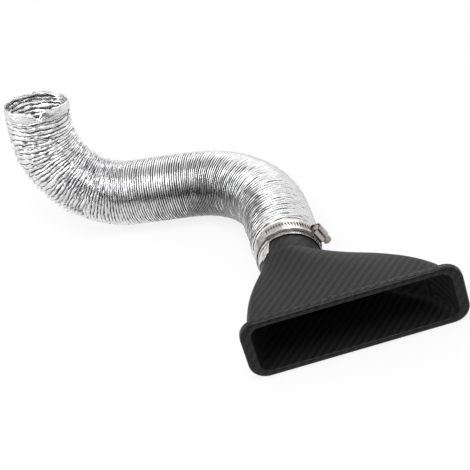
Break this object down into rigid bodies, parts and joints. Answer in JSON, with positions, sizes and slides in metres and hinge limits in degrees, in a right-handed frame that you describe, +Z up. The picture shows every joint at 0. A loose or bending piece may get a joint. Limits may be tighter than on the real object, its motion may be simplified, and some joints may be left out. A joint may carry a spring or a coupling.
{
  "type": "bumper air intake duct",
  "caption": "Bumper air intake: a flat-mouthed black moulded funnel with a crimped aluminium foil duct clamped to its round neck.",
  "frame": {"origin": "middle of the whole part's box, at floor level", "axes": "+Z up; the mouth of the funnel faces -Y, the duct leaves towards +Y and then turns towards -X and up"},
  "size_m": [0.4158, 0.4038, 0.1618],
  "materials": {
    "black_plastic": "satin",
    "duct_foil": "bright crimped foil",
    "clamp_steel": "satin",
    "screw_steel": "zinc plated"
  },
  "bodies": {
    "root": {"air_box": "black_plastic", "foil_duct": "duct_foil", "clamp_band": "clamp_steel", "clamp_saddle": "clamp_steel", "clamp_housing": "clamp_steel", "clamp_screw": "screw_steel"}
  },
  "joints": []
}
